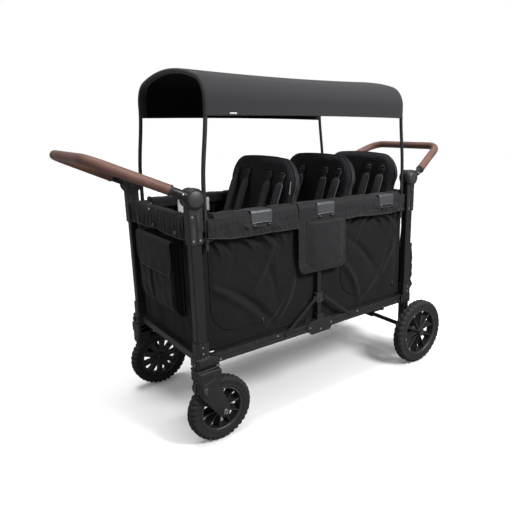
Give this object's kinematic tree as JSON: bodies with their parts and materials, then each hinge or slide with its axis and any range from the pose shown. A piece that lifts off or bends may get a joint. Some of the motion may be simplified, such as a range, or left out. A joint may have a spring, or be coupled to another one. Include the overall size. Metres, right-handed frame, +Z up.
{
  "type": "pull wagon",
  "caption": "Folding-frame children's pull wagon with a fabric tub, bench seats, a barrel canopy on poles, a tilting handle at each end and swivelling front casters.",
  "frame": {"origin": "centre of the footprint on the ground", "axes": "+X towards the rear (fixed wheels), +Y towards the right side, +Z up"},
  "size_m": [1.6504, 0.71, 1.2949],
  "materials": {
    "tyre": "matte",
    "rim_plastic": "satin",
    "brown_leather": "satin",
    "canopy_fabric": "matte",
    "pole_metal": "satin",
    "seat_fabric": "matte",
    "tub_fabric": "matte",
    "webbing": "matte",
    "clip_plastic": "satin",
    "rivet_steel": "satin",
    "frame_metal": "satin",
    "black_plastic": "satin"
  },
  "bodies": {
    "frame": {"basket_straps": "webbing", "bottom_rails": "frame_metal", "braces": "frame_metal", "canopy_clamps": "black_plastic", "centre_pockets": "tub_fabric", "corner_joints": "black_plastic", "corner_posts": "frame_metal", "end_covers": "tub_fabric", "end_panels": "tub_fabric", "floor_panel": "tub_fabric", "front_pocket": "tub_fabric", "handle_brackets": "black_plastic", "harness_straps": "webbing", "high_cross_rails": "frame_metal", "low_cross_rails": "frame_metal", "mid_hinges": "black_plastic", "mid_posts": "frame_metal", "rail_covers": "tub_fabric", "rear_axle": "frame_metal", "rear_basket": "tub_fabric", "rear_legs": "frame_metal", "rivets": "rivet_steel", "seat_back_1": "seat_fabric", "seat_back_2": "seat_fabric", "seat_back_3": "seat_fabric", "seat_clips": "clip_plastic", "seat_cushions": "seat_fabric", "side_panels": "tub_fabric", "slider_collars": "black_plastic", "top_rails": "frame_metal"},
    "canopy": {"canopy_arch_front": "pole_metal", "canopy_arch_rear": "pole_metal", "canopy_sheet": "canopy_fabric"},
    "handle_front": {"handle_tube_front": "frame_metal", "handle_grip_front": "brown_leather"},
    "handle_rear": {"handle_tube_rear": "frame_metal", "handle_grip_rear": "brown_leather"},
    "pocket_flap": {"front_pocket_flap": "tub_fabric"},
    "brake_pedal": {"brake_pedal": "black_plastic"},
    "caster_left": {"caster_fork_left": "black_plastic"},
    "front_wheel_left": {"front_tyre_left": "tyre", "front_rim_left": "rim_plastic"},
    "rear_wheel_left": {"rear_tyre_left": "tyre", "rear_rim_left": "rim_plastic"},
    "swivel_pin_left": {"swivel_pin_left": "black_plastic"},
    "button_front_left": {"release_button_front_left": "black_plastic"},
    "lever_front_left": {"clamp_lever_front_left": "black_plastic"},
    "button_rear_left": {"release_button_rear_left": "black_plastic"},
    "lever_rear_left": {"clamp_lever_rear_left": "black_plastic"},
    "caster_right": {"caster_fork_right": "black_plastic"},
    "front_wheel_right": {"front_tyre_right": "tyre", "front_rim_right": "rim_plastic"},
    "rear_wheel_right": {"rear_tyre_right": "tyre", "rear_rim_right": "rim_plastic"},
    "swivel_pin_right": {"swivel_pin_right": "black_plastic"},
    "button_front_right": {"release_button_front_right": "black_plastic"},
    "lever_front_right": {"clamp_lever_front_right": "black_plastic"},
    "button_rear_right": {"release_button_rear_right": "black_plastic"},
    "lever_rear_right": {"clamp_lever_rear_right": "black_plastic"}
  },
  "joints": [
    {"name": "canopy_height", "type": "slide", "parent": "frame", "child": "canopy", "axis": [0, 0, 1], "range_m": [-0.09, 0]},
    {"name": "handle_front_tilt", "type": "hinge", "parent": "frame", "child": "handle_front", "pos_m": [-0.523, 0, 0.877], "axis": [0, 1, 0], "range_deg": [-45, 55]},
    {"name": "handle_rear_tilt", "type": "hinge", "parent": "frame", "child": "handle_rear", "pos_m": [0.523, 0, 0.877], "axis": [0, -1, 0], "range_deg": [-45, 55]},
    {"name": "pocket_flap_lift", "type": "hinge", "parent": "frame", "child": "pocket_flap", "pos_m": [-0.546, 0, 0.7165], "axis": [0, 1, 0], "range_deg": [0, 110]},
    {"name": "brake_pedal_press", "type": "hinge", "parent": "frame", "child": "brake_pedal", "pos_m": [0.566, 0, 0.15], "axis": [0, 1, 0], "range_deg": [0, 20]},
    {"name": "caster_swivel_left", "type": "hinge", "parent": "frame", "child": "caster_left", "pos_m": [-0.523, -0.27, 0.27], "axis": [0, 0, 1], "continuous": true},
    {"name": "front_wheel_spin_left", "type": "hinge", "parent": "caster_left", "child": "front_wheel_left", "pos_m": [-0.463, -0.27, 0.12], "axis": [0, 1, 0], "continuous": true},
    {"name": "rear_wheel_spin_left", "type": "hinge", "parent": "frame", "child": "rear_wheel_left", "pos_m": [0.566, -0.325, 0.15], "axis": [0, 1, 0], "continuous": true},
    {"name": "swivel_pin_pull_left", "type": "slide", "parent": "frame", "child": "swivel_pin_left", "axis": [-1, 0, 0], "range_m": [0, 0.006], "stiffness_N_per_m": 400, "springref_m": -0.002},
    {"name": "button_press_front_left", "type": "slide", "parent": "frame", "child": "button_front_left", "axis": [0, -1, 0], "range_m": [0, 0.005], "stiffness_N_per_m": 600, "springref_m": -0.002},
    {"name": "lever_open_front_left", "type": "hinge", "parent": "frame", "child": "lever_front_left", "pos_m": [-0.466, -0.27, 0.737], "axis": [0, 1, 0], "range_deg": [0, 80]},
    {"name": "button_press_rear_left", "type": "slide", "parent": "frame", "child": "button_rear_left", "axis": [0, -1, 0], "range_m": [0, 0.005], "stiffness_N_per_m": 600, "springref_m": -0.002},
    {"name": "lever_open_rear_left", "type": "hinge", "parent": "frame", "child": "lever_rear_left", "pos_m": [0.466, -0.27, 0.737], "axis": [0, -1, 0], "range_deg": [0, 80]},
    {"name": "caster_swivel_right", "type": "hinge", "parent": "frame", "child": "caster_right", "pos_m": [-0.523, 0.27, 0.27], "axis": [0, 0, 1], "continuous": true},
    {"name": "front_wheel_spin_right", "type": "hinge", "parent": "caster_right", "child": "front_wheel_right", "pos_m": [-0.463, 0.27, 0.12], "axis": [0, 1, 0], "continuous": true},
    {"name": "rear_wheel_spin_right", "type": "hinge", "parent": "frame", "child": "rear_wheel_right", "pos_m": [0.566, 0.325, 0.15], "axis": [0, 1, 0], "continuous": true},
    {"name": "swivel_pin_pull_right", "type": "slide", "parent": "frame", "child": "swivel_pin_right", "axis": [-1, 0, 0], "range_m": [0, 0.006], "stiffness_N_per_m": 400, "springref_m": -0.002},
    {"name": "button_press_front_right", "type": "slide", "parent": "frame", "child": "button_front_right", "axis": [0, 1, 0], "range_m": [0, 0.005], "stiffness_N_per_m": 600, "springref_m": -0.002},
    {"name": "lever_open_front_right", "type": "hinge", "parent": "frame", "child": "lever_front_right", "pos_m": [-0.466, 0.27, 0.737], "axis": [0, 1, 0], "range_deg": [0, 80]},
    {"name": "button_press_rear_right", "type": "slide", "parent": "frame", "child": "button_rear_right", "axis": [0, 1, 0], "range_m": [0, 0.005], "stiffness_N_per_m": 600, "springref_m": -0.002},
    {"name": "lever_open_rear_right", "type": "hinge", "parent": "frame", "child": "lever_rear_right", "pos_m": [0.466, 0.27, 0.737], "axis": [0, -1, 0], "range_deg": [0, 80]}
  ]
}
